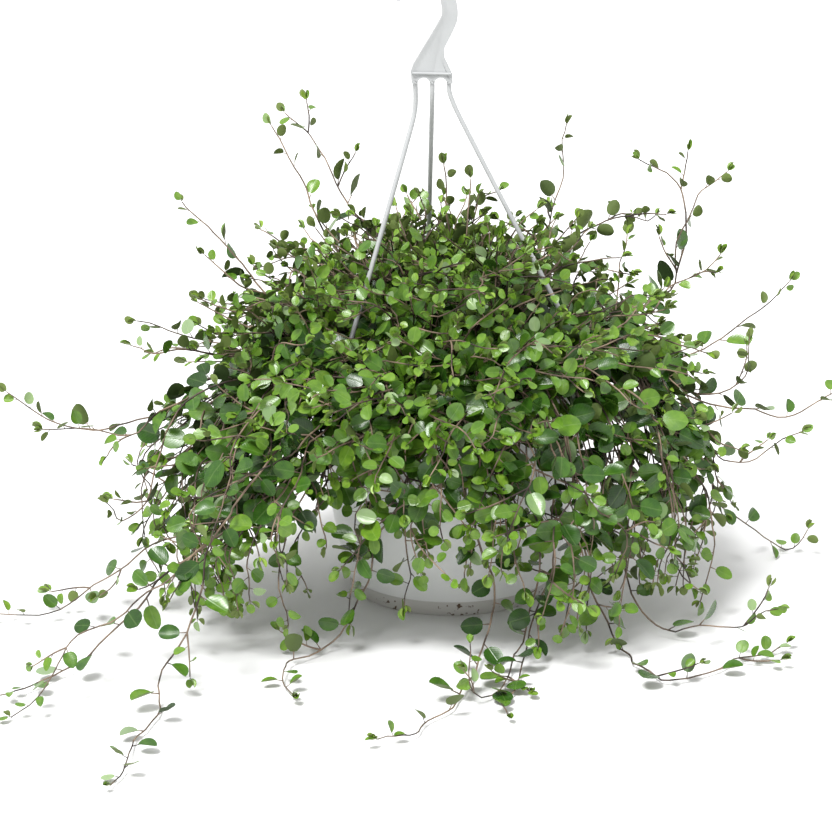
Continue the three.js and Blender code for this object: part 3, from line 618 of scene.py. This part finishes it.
# Each is (heading, root reach, route, forks). A route is of (reach, height) or (reach, height, heading),
# and a fork is (share of the stem, route).
followed_vines = [
    (125, None, [(45, 142), (67, 163), (102, 185), (126, 206), (144, 218)],
     [(0.35, [(100, 146, 134), (119, 158, 140), (131, 162, 140)])]),
    (150, None, [(42, 128), (64, 163), (80, 183), (93, 213), (103, 221)], []),
    (165, None, [(63, 122), (91, 138), (110, 160), (131, 181), (139, 189)],
     [(0.5, [(106, 150, 171), (124, 164, 172)])]),
    (185, None, [(50, 125), (80, 133), (106, 145), (125, 153)], []),
    (190, None, [(80, 121), (117, 130), (141, 138), (152, 139)],
     [(0.6, [(126, 127, 194), (148, 131, 195), (163, 133, 195)])]),
    (182, None, [(78, 122), (113, 106), (134, 95), (152, 86), (173, 82), (207, 93), (222, 100)],
     [(0.4, [(128, 108, 190), (158, 98, 197), (181, 96, 198), (205, 97, 198)])]),
    (205, None, [(81, 120), (118, 119), (144, 109), (158, 86), (162, 68), (173, 56), (182, 65)], []),
    (196, None, [(79, 121), (92, 95), (108, 52), (134, 40), (180, 17), (202, 10), (227, 3)], []),
    (222, None, [(79, 121), (104, 87), (141, 66), (192, 39), (224, 32), (250, 16), (268, 3)],
     [(0.5, [(180, 33, 217), (199, 19, 216), (217, 6, 216), (240, 2, 217), (261, 2, 217)])]),
    (228, None, [(79, 121), (110, 105), (152, 82), (174, 49), (196, 14), (228, 2, 233),
                 (262, 2, 237), (294, 2, 239)], []),
    (268, None, [(79, 121), (93, 100, 260), (99, 72, 254), (104, 30, 246), (112, 7, 240),
                 (142, 2, 237), (174, 2, 245)], []),
    (272, None, [(80, 121), (91, 98, 274), (96, 60, 278), (99, 14, 280), (118, 2, 276),
                 (161, 2, 271), (196, 2, 265), (214, 2, 260)], []),
    (290, None, [(80, 121), (95, 100, 291), (103, 60, 293), (103, 14, 290), (124, 2, 283),
                 (150, 2, 278), (160, 7, 274), (146, 22, 272)], []),
    (298, None, [(80, 121), (100, 102, 297), (110, 67, 295), (110, 20, 292), (122, 3, 287),
                 (150, 2, 280), (182, 2, 277)], []),
    (302, None, [(82, 121), (99, 84, 303), (106, 32, 307), (120, 3, 310), (150, 2, 306),
                 (171, 2, 306), (175, 2, 317), (188, 2, 329)], []),
    (322, None, [(82, 121), (94, 84), (99, 38), (124, 6), (150, 12), (172, 18), (193, 24)], []),
    (325, None, [(80, 122), (109, 115), (127, 77), (134, 48), (143, 26)], []),
    (12, None, [(82, 120), (114, 82), (130, 50), (152, 24), (173, 8), (182, 4), (188, 14)], []),
    (352, None, [(80, 122), (99, 104), (126, 80), (147, 70), (164, 78), (176, 84)],
     [(0.45, [(118, 94, 347), (134, 84, 345), (145, 79, 345)])]),
    (2, None, [(80, 122), (94, 107), (114, 100), (144, 91), (166, 84), (192, 94), (205, 97)],
     [(0.4, [(128, 99, 357), (140, 108, 355), (145, 130, 355)])]),
    (14, None, [(82, 121), (97, 106), (126, 108), (149, 126), (174, 143)], []),
    (25, None, [(60, 122), (91, 124), (117, 138), (129, 165), (139, 188), (157, 198)],
     [(0.66, [(140, 172, 30), (138, 190, 32), (115, 203, 32)])]),
    (60, None, [(60, 130), (88, 146), (106, 170), (115, 192), (116, 216)], []),
    (40, None, [(52, 150), (81, 168), (116, 169), (140, 166)], []),
    (18, None, [(79, 121), (110, 138), (130, 148), (140, 159)], []),
    (88, 8, [(9, 135), (14, 168), (20, 206, 104)], [(0.35, [(14, 165, 60), (21, 203, 70)])]),
    (215, 10, [(11, 135), (15, 165, 225), (24, 202, 230)], []),
]
# Where the stems start and cross the rim, and how the crown vines fill a dome.
root_reaches = (26, 39, 52)
root_depth = 3
collar = 14
over_rim = 128
fork_share = 0.45
crown_vines = 15
golden_angle = 137.508
least_root_reach = 6
crown_root_spread = 48
crown_turn = 24
most_crown_turn = 120
crown_swing = 30
dome_middle = 112
dome_lift = 0.75
dome_reach = (134, 76)
dome_depth = 12
dome_rise = (0.06, 0.98)
# Each skirt is (first heading, last heading, end reaches, end heights).
skirts = [
    (188, 238, (112, 146), (12, 62)),
    (286, 350, (106, 136), (10, 60)),
    (238, 286, (92, 108), (38, 80)),
    (350, 470, (100, 118), (40, 80)),
    (470, 548, (98, 116), (40, 80)),
]
skirt_vines = 3
skirt_draws = 46
skirt_turn = 16
skirt_swing = 14
start_swing = 30
start_reach = 60
start_heights = (131, 139)
shoulder_reach = 86
shoulder_heights = (118, 134)
skirt_root_reaches = (20, 56)
# How a stem bends and tapers. Its first points stay straight, and it wanders freely after a few more.
stem_step = 4.5
stem_radius = 0.66
tip_radius = 0.3
stem_taper = 1.3
straight_points = 4
loosening_points = 8
wander = 6.5
wander_length = 26
wander_seed = 3
kink = 0.55
# How leaves and side shoots stand along a stem: farther apart outside the crown, and smaller near tips.
bare_stem = 38
node_spacing = 10.5
tip_zone = 30
tip_spacing = 7.5
far_spacing = 1.7
leaf_length = 10.7
young_zone = 55
face_spread = 1.5
face_rise = 0.62
lean_angle = 42
lean_spread = 35
near_floor = 6
bloom_and_sheen_above = 0.93
shoot_lengths = (22, 64)
far_shoot_length = 20
shoot_spacing = 8.5
shoot_bare = 7
fork_bare = 10
crown_middle = Vector((0, 0, dome_middle))
crown_reach = (146, 68)
# The room left round the pot and the strands, and the place at the front where the pot stays bare.
pot_room = 2.2
strand_room = 3.4
strand_window = 46
strand_window_bottom = 128
strand_past_end = 1.05
open_strand = 0
front_heading = 270
bare_front = (232, 290)
barest_front = (233, 256)
bare_front_heights = (60, 80)
bare_front_reach = 120
noise.seed_set(wander_seed)


def route_points(route, heading):
    points = []
    for reach, height, *turn in route:
        heading = turn[0] if turn else heading
        points.append(point_at(heading, reach, height))
    return points


def between(ends, share):
    return ends[0] + (ends[1] - ends[0]) * share


def dome_top(far, rise):
    """How high a stem of the crown goes on its way to its place on the dome."""
    return max(over_rim, dome_middle + dome_lift * far * math.sin(rise))


def dome_route(root_reach, far, rise, swing):
    """A route up out of the soil, outward, and to a place on the dome."""
    end_reach, end_height = far * math.cos(rise), dome_middle + far * math.sin(rise)
    over = dome_top(far, rise)
    return [
        (between((root_reach, end_reach), 0.4), over - 6),
        (between((root_reach, end_reach), 0.75), (over + end_height) / 2 + 4),
        (end_reach, end_height, swing),
    ]


def crown_vine(index):
    """A vine of the crown, which forks on its way to the dome."""
    rise = math.asin(between(dome_rise, (index + 0.5) / crown_vines))
    far = between(dome_reach, 2 * rise / math.pi) - dome_depth * draw(index, 1, 1)
    root_reach = least_root_reach + crown_root_spread * draw(index, 2, 1) * math.cos(rise)
    heading = (index * golden_angle) % 360
    swing = heading + crown_swing * (draw(index, 3, 1) - 0.5)
    route = dome_route(root_reach, far, rise, swing)
    turn = min(most_crown_turn, crown_turn / math.cos(rise)) * (1 if index % 2 else -1)
    middle, (end_reach, end_height, _) = route[1][0], route[2]
    fork = [(middle, dome_top(far, rise) - 2, heading + turn / 2),
            (end_reach - 6, end_height - 10, heading + turn)]
    return heading, root_reach, route, [(fork_share, fork)]


def hanging_route(heading, start_height, shoulder, reach, low, swing):
    """A route over the rim and down to a low end, which swings aside."""
    return [
        (start_reach, start_height),
        (shoulder_reach, shoulder, heading),
        (between((shoulder_reach, reach), 0.55) + 6, between((shoulder, low), 0.34)),
        (reach + 4, between((shoulder, low), 0.72), swing),
        (reach, low),
    ]


def skirt_vine(skirt, number, index):
    """A vine that hangs over the rim and down, and forks past the rim."""
    first, last, reaches, lows = skirt
    at = 10 * number + index + skirt_draws
    heading = between((first, last), (index + 0.25 + 0.5 * draw(at, 1, 1)) / skirt_vines)
    reach, low = between(reaches, draw(at, 2, 1)), between(lows, draw(at, 3, 1))
    start_heading = heading + start_swing * (draw(at, 4, 1) - 0.5)
    swing = heading + skirt_swing * (draw(at, 5, 1) - 0.5)
    shoulder = between(shoulder_heights, draw(at, 6, 1))
    route = hanging_route(heading, between(start_heights, draw(at, 7, 1)), shoulder, reach, low, swing)
    turn = skirt_turn if index % 2 else -skirt_turn
    fork = [(between((shoulder_reach, reach), 0.55) + 4, between((shoulder, low), 0.36), heading + turn),
            (reach - 6, between((shoulder, low), 0.8), heading + 1.5 * turn)]
    return start_heading, between(skirt_root_reaches, draw(at, 8, 1)), route, [(fork_share, fork)]


def from_soil(heading, root_reach, points):
    """A stem's points with its root: straight up out of the soil to its collar, and on."""
    root = point_at(heading, root_reach, soil_top - root_depth)
    return [root, point_at(heading, root_reach, soil_top + collar)] + points


def clear_point(point, room):
    """The point, moved out of the pot, its rim, the soil and the floor."""
    point = point.copy()
    reach = math.hypot(point.x, point.y)
    point.z = max(point.z, room)
    if point.z >= pot_height + room:
        return point
    if reach < slot_radius - lug_reach - room:
        point.z = max(point.z, soil_top + 1)
    elif reach < flange_radius + room and point.z > pot_height - 12:
        point.z = pot_height + room
    else:
        outside = wall_radius(max(0, point.z)) + room
        if reach < outside:
            point.x *= outside / reach
            point.y *= outside / reach
    return point


strand_lines = []
for index, heading in enumerate(strand_headings):
    bends = strand_points(index)
    parting = point_at(front_heading if index == open_strand else heading, 1, 0)
    strand_lines += [(bends[0], bends[2], parting), (bends[2], bends[4], parting)]


def near_strand(point, room, window):
    """Whether a point is too near a strand, or just outside it, where the stems part to let it through."""
    for top, end, parting in strand_lines:
        spot, share = intersect_point_line(point, top, end)
        if not 0 <= share <= strand_past_end:
            continue
        away = point - spot
        beyond = away.dot(parting)
        beside = (away - parting * beyond).length
        in_window = 0 < beyond < window and beside < room and spot.z > strand_window_bottom
        if away.length < room or in_window:
            return True
    return False


def in_crown(point, room):
    """Whether a point is inside the dome of the crown, with the given room to its outside."""
    away = point - crown_middle
    rise = math.asin(away.z / away.length) / (math.pi / 2)
    return away.length < between(crown_reach, max(0, rise)) - room


def in_reach(point):
    """Whether a point is inside the box that the solid part fills."""
    return all(low / METRES < at < high / METRES for low, at, high in zip(cad_box[0], point, cad_box[1]))


def stem_sites(path, start, spacing):
    """Leaf sites along a path: (point, direction, distance to the tip)."""
    lengths = [0]
    for a, b in zip(path, path[1:]):
        lengths.append(lengths[-1] + (b - a).length)
    total = lengths[-1]
    sites, at, i = [], start, 0
    while at < total - 2:
        while lengths[i + 1] < at:
            i += 1
        share = (at - lengths[i]) / (lengths[i + 1] - lengths[i])
        point = path[i].lerp(path[i + 1], share)
        along = (path[min(i + 2, len(path) - 1)] - path[max(i - 1, 0)]).normalized()
        sites.append((point, along, total - at))
        wide = spacing if in_crown(point, 0) else far_spacing * spacing
        at += wide if total - at > tip_zone else tip_spacing
    return sites


class Growth:
    """Gathers one piece's stems and leaves."""

    def __init__(self, seed, leaf_size=1.0):
        self.seed = seed
        self.leaf_size = leaf_size
        self.count = 0
        self.runs = []
        self.leaves = []

    def draw(self, purpose):
        self.count += 1
        return draw(self.seed, self.count, purpose)

    def spread(self, purpose):
        return self.draw(purpose) - 0.5


def outward_at(point):
    """The level direction away from the pot's axis, or to the front on the axis itself."""
    outward = Vector((point.x, point.y, 0))
    return outward.normalized() if outward.length > 1 else Vector((0, -1, 0))


def add_leaf(growth, point, along, to_tip, side):
    """A leaf that leans from its stem and faces up and outward, unless it would touch what is near."""
    face = Vector((growth.spread(31), growth.spread(32), growth.spread(33))) * face_spread
    face += Vector((0, 0, face_rise)) + outward_at(point) * face_rise
    sideways = face.cross(along)
    if sideways.length < 0.05:
        sideways = Vector((0, 0, 1)).cross(along)
    sideways.normalize()
    lean = math.radians(lean_angle + lean_spread * growth.draw(34)) if side else 0.25 * growth.spread(35)
    way = along * math.cos(lean) + sideways * (side or 1) * math.sin(lean)
    way += Vector((0, 0, 0.12))
    way.normalize()
    young = min(1, to_tip / young_zone)
    size = leaf_length * growth.leaf_size * (0.4 + 0.6 * young ** 0.8) * (0.8 + 0.36 * growth.draw(36))
    if point.z < near_floor:
        way.z = max(way.z, 0.1)
        way.normalize()
        face = Vector((0.35 * growth.spread(37), 0.35 * growth.spread(38), 1))
    face = (face - way * face.dot(way)).normalized()
    centre = point + way * size * (stalk_length + 0.5)
    lowest = 0.35 * size * math.hypot(face.x, face.y) + 1
    if centre.z < lowest:
        centre.z = lowest
        way = (centre - point).normalized()
        face = (face - way * face.dot(way)).normalized()
    pushed = (clear_point(centre, 0.45 * size) - centre).length
    if pushed > 0.6 * size or not in_reach(centre + way * size / 2):
        return
    if near_strand(centre, 0.5 * size + 1.5, strand_window):
        return
    across = way.cross(face)
    turn = Matrix((across, way, face)).transposed().to_4x4()
    start = Vector((0, -stalk_length, -stalk_drop)) * size
    matrix = Matrix.Translation(point - turn.to_3x3() @ start) @ turn @ Matrix.Scale(size, 4)
    age = 0.18 + 0.62 * young * growth.draw(39) + 0.3 * growth.draw(40) * young
    # A few leaves get the pale tint that is part waxy bloom and part painted sheen.
    bloom_and_sheen = 0.2 + 0.4 * growth.draw(42) if growth.draw(41) > bloom_and_sheen_above else 0
    growth.leaves.append((matrix, int(growth.draw(43) * len(leaf_patterns)), age, bloom_and_sheen))


def add_buds(growth, point, along):
    """Two or three small pointed leaves that are still opening at a tip."""
    for i in range(2 + (growth.draw(51) > 0.5)):
        way = (along + Vector((growth.spread(52), growth.spread(53), growth.spread(54))) * 0.9).normalized()
        if point.z < near_floor:
            way.z = abs(way.z)
        face = Vector((growth.spread(55), growth.spread(56), 1))
        face = (face - way * face.dot(way)).normalized()
        size = 3.2 + 2.4 * growth.draw(57)
        turn = Matrix((way.cross(face), way, face)).transposed().to_4x4()
        matrix = Matrix.Translation(point - turn.to_3x3() @ Vector((0, -0.2, -0.06)) * size)
        growth.leaves.append((matrix @ turn @ Matrix.Scale(size, 4), -1, 0.25 * growth.draw(58), 0))


def grow_stem(growth, points, start, spacing, shoot_share, thick=1.0, rooted=False):
    """A stem through the points, with its leaves, and with side shoots at a share of its leaves."""
    path = smooth_path(points, stem_step)
    straight = straight_points if rooted else 0
    for i in range(straight, len(path)):
        free = min(1, (i - straight) / loosening_points)
        sway = noise.noise_vector(path[i] / wander_length + Vector((growth.seed * 7.3, thick * 31, 0)))
        jog = Vector((growth.spread(65), growth.spread(66), growth.spread(67))) * kink
        path[i] = clear_point(path[i] + free * (wander * Vector(sway) + jog), pot_room)
    last = len(path) - 1
    radii = (stem_radius * thick, tip_radius)
    growth.runs.append([(point, between(radii, (i / last) ** stem_taper)) for i, point in enumerate(path)])
    side = 1 if growth.draw(61) > 0.5 else -1
    for point, along, to_tip in stem_sites(path, start, spacing):
        side = -side
        if not near_strand(point, 1.5, 0):
            add_leaf(growth, point, along, to_tip, side)
        if to_tip > 18 and growth.draw(62) < shoot_share:
            grow_shoot(growth, point, along, -side, to_tip)
    add_leaf(growth, path[-1], (path[-1] - path[-2]).normalized(), 3, 0)
    add_buds(growth, path[-1], (path[-1] - path[-2]).normalized())
    return path


def grow_shoot(growth, point, along, side, to_tip):
    """A short side shoot that leaves its stem slantwise and bends up to the light or down with its weight."""
    face = Vector((growth.spread(71), growth.spread(72), 1)) + outward_at(point) * 0.4
    sideways = face.cross(along).normalized() * side
    way = (along * 0.7 + sideways * (0.5 + 0.5 * growth.draw(73))
           + face.normalized() * (0.7 * growth.draw(74) - 0.1)).normalized()
    length = between(shoot_lengths, growth.draw(75) ** 1.4)
    length = min(length, 14 + 1.1 * to_tip)
    if not in_crown(point, 12):
        length = min(length, far_shoot_length)
    pull = Vector((0.5 * growth.spread(76), 0.5 * growth.spread(77), 0.9 * growth.spread(78) - 0.1))
    points = [point]
    for i in range(3):
        way = (way + pull * 0.5).normalized()
        points.append(clear_point(points[-1] + way * length / 3, pot_room))
    if any(near_strand(place, strand_room, strand_window) for place in points[2:]):
        return
    if low_front(points[-1]) or not in_reach(points[-1]):
        return
    if in_crown(point, 12) and not in_crown(points[-1], 4):
        return
    grow_stem(growth, points, shoot_bare, shoot_spacing, shoot_share=0, thick=0.68)


def low_front(point):
    """The open place at the front where the pot shows between the hanging stems."""
    heading = math.degrees(math.atan2(point.y, point.x)) % 360
    limit = bare_front_heights[barest_front[0] < heading < barest_front[1]]
    in_front = bare_front[0] < heading < bare_front[1] and math.hypot(point.x, point.y) < bare_front_reach
    return in_front and point.z < limit


def add_leafy_piece(name, growth, replaced=()):
    """Joins a growth's stems and leaves in one mesh."""
    shape = bmesh.new()
    age_layer = shape.verts.layers.float.new("age")
    bloom_and_sheen_layer = shape.verts.layers.float.new("bloom_and_sheen")
    shape.loops.layers.uv.new("blade")
    stems = bar_mesh(growth.runs, 1)
    shape.from_mesh(stems)
    bpy.data.meshes.remove(stems)
    for face in shape.faces:
        face.smooth = True
        face.material_index = 0
    for matrix, kind, age, bloom_and_sheen in growth.leaves:
        first = len(shape.verts)
        blade = (bud_pattern if kind < 0 else leaf_patterns[kind]).copy()
        blade.transform(matrix)
        shape.from_mesh(blade)
        bpy.data.meshes.remove(blade)
        shape.verts.ensure_lookup_table()
        for i in range(first, len(shape.verts)):
            shape.verts[i][age_layer] = age
            shape.verts[i][bloom_and_sheen_layer] = bloom_and_sheen
    new_piece(name, mesh_of(name, shape), [stem_bark, leaf_skin, leaf_under], replaced)


vines = followed_vines + [crown_vine(index) for index in range(crown_vines)]
for number, skirt in enumerate(skirts):
    vines += [skirt_vine(skirt, number, index) for index in range(skirt_vines)]

for index, (heading, root_reach, route, forks) in enumerate(vines):
    growth = Growth(index + 100)
    root_reach = root_reaches[index % 3] if root_reach is None else root_reach
    points = from_soil(heading, root_reach, route_points(route, heading))
    shoot_share = 0.2 if index < len(followed_vines) else 0.38
    path = grow_stem(growth, points, bare_stem, node_spacing, shoot_share, rooted=True)
    for share, fork in forks:
        start = path[round(share * (len(path) - 1))]
        grow_stem(growth, [start] + route_points(fork, heading), fork_bare, node_spacing,
                  shoot_share=0.15, thick=0.85)
    add_leafy_piece(f"leafy_stem_{index + 1:02d}", growth, [f"vine_{index + 1:02d}"])


# The thicket: the many shorter stems that stand close together in the crown and fill it to a dome. They
# are grown in eight bunches, with smaller leaves than the long stems.
thicket_bunches = 8
thicket_stems = 17
thicket_spacing = 9.5
thicket_leaf_size = 0.92
thicket_angles = (4, 88)
thicket_reach = (132, 56)
thicket_depth = 14
thicket_root_spread = 52
thicket_swing = 36

for bunch in range(thicket_bunches):
    growth = Growth(500 + bunch, thicket_leaf_size)
    for i in range(thicket_stems):
        number = bunch + thicket_bunches * i
        heading = (number * golden_angle + 20 * growth.spread(81)) % 360
        rise = math.radians(between(thicket_angles, growth.draw(82)))
        far = between(thicket_reach, rise / (math.pi / 2)) - thicket_depth * growth.draw(83)
        root_reach = least_root_reach + thicket_root_spread * growth.draw(84) * math.cos(rise)
        swing = heading + thicket_swing * growth.spread(85)
        points = route_points(dome_route(root_reach, far, rise, swing), heading)
        grow_stem(growth, from_soil(heading, root_reach, points), bare_stem, thicket_spacing,
                  shoot_share=0.32, thick=0.85, rooted=True)
    add_leafy_piece(f"thicket_{bunch + 1}", growth)


# More stems hang over the rim beside the skirt vines: long and close at the left and right of the front,
# short between them, where the pot shows, and of middle length at the back.
skirt_stems = (36, 27, 26, 16, 12)
skirt_spacings = (12, 12.5, 9, 12, 12)
skirt_leaf_size = 1.12
left_skirt, front_skirt = 0, 2
left_reach = 24
front_lows = (14, 62)
front_highs = (74, 98)
front_thick_from = 260
stem_swing = 26
stem_start_heights = (128, 136)

for number, (first, last, reaches, lows) in enumerate(skirts):
    growth = Growth(700 + number, skirt_leaf_size)
    for i in range(skirt_stems[number]):
        heading = between((first, last), (i + growth.draw(91)) / skirt_stems[number])
        reach, low = between(reaches, growth.draw(92)), between(lows, growth.draw(93))
        if number == left_skirt:
            reach += left_reach * growth.draw(99)
        if number == front_skirt:
            hangs_low = i % (2 if heading > front_thick_from else 4) == 0
            low = between(front_lows if hangs_low else front_highs, growth.draw(99))
        start_heading = heading + start_swing * growth.spread(94)
        swing = heading + stem_swing * growth.spread(95)
        shoulder = between(shoulder_heights, growth.draw(96))
        start_height = between(stem_start_heights, growth.draw(97))
        root_reach = between(skirt_root_reaches, growth.draw(98))
        route = hanging_route(heading, start_height, shoulder, reach, low, swing)
        points = from_soil(start_heading, root_reach, route_points(route, start_heading))
        grow_stem(growth, points, bare_stem, skirt_spacings[number],
                  shoot_share=0.3, thick=0.9, rooted=True)
    add_leafy_piece(f"skirt_{number + 1}", growth)


# The studio: a white floor that runs out of sight, a white world that is brighter overhead, and one broad
# soft lamp above the camera. The camera is at the photograph's place: 1.5 m away and 17.5 degrees above the
# level, with a long lens.
floor_size = 9000
camera_target = Vector((-0.0176, 0, 0.087))
camera_distance = 1.5
camera_elevation = 17.5
camera_lens = 130.3
sky_low = 0.72
sky_high = 1.0
lamp_place = Vector((-0.6, -0.75, 1.9))
lamp_target = Vector((0, 0, 0.1))
lamp_angle = 20
lamp_power = 3.8

floor_shape = bmesh.new()
bmesh.ops.create_grid(floor_shape, x_segments=1, y_segments=1, size=floor_size)
floor_mesh = mesh_of("floor", floor_shape)
floor_mesh.transform(Matrix.Scale(METRES, 4))
floor = add_object("floor", floor_mesh)
floor_paint, shader = new_material("white studio floor", "eaeaea", Roughness=0.9)
shader.inputs["Specular IOR Level"].default_value = 0.1
floor_mesh.materials.append(floor_paint)

world = bpy.data.worlds.new("white studio")
bpy.context.scene.world = world
world.use_nodes = True
background = world.node_tree.nodes["Background"]
background.inputs["Color"].default_value = (1, 1, 1, 1)
direction = add_node(world, "ShaderNodeTexCoord").outputs["Generated"]
rise = add_node(world, "ShaderNodeSeparateXYZ", {0: direction})
glow = add_node(world, "ShaderNodeMapRange", {
    "Value": rise.outputs["Z"], "To Min": sky_low, "To Max": sky_high})
link(world, glow.outputs[0], background.inputs["Strength"])


lamp_light = bpy.data.lights.new("overhead light", "SUN")
lamp_light.angle = math.radians(lamp_angle)
lamp_light.energy = lamp_power
lamp = add_object("overhead light", lamp_light)
lamp.location = lamp_place
lamp.rotation_euler = (lamp_target - lamp_place).to_track_quat("-Z", "Y").to_euler()

camera_data = bpy.data.cameras.new("camera")
camera_data.lens = camera_lens
camera_data.sensor_width = 36
camera = add_object("camera", camera_data)
slope = math.radians(camera_elevation)
camera.location = camera_target + Vector((0, -math.cos(slope), math.sin(slope))) * camera_distance
camera.rotation_euler = (math.pi / 2 - slope, 0, 0)
bpy.context.scene.camera = camera
bpy.context.scene.view_settings.view_transform = "Standard"
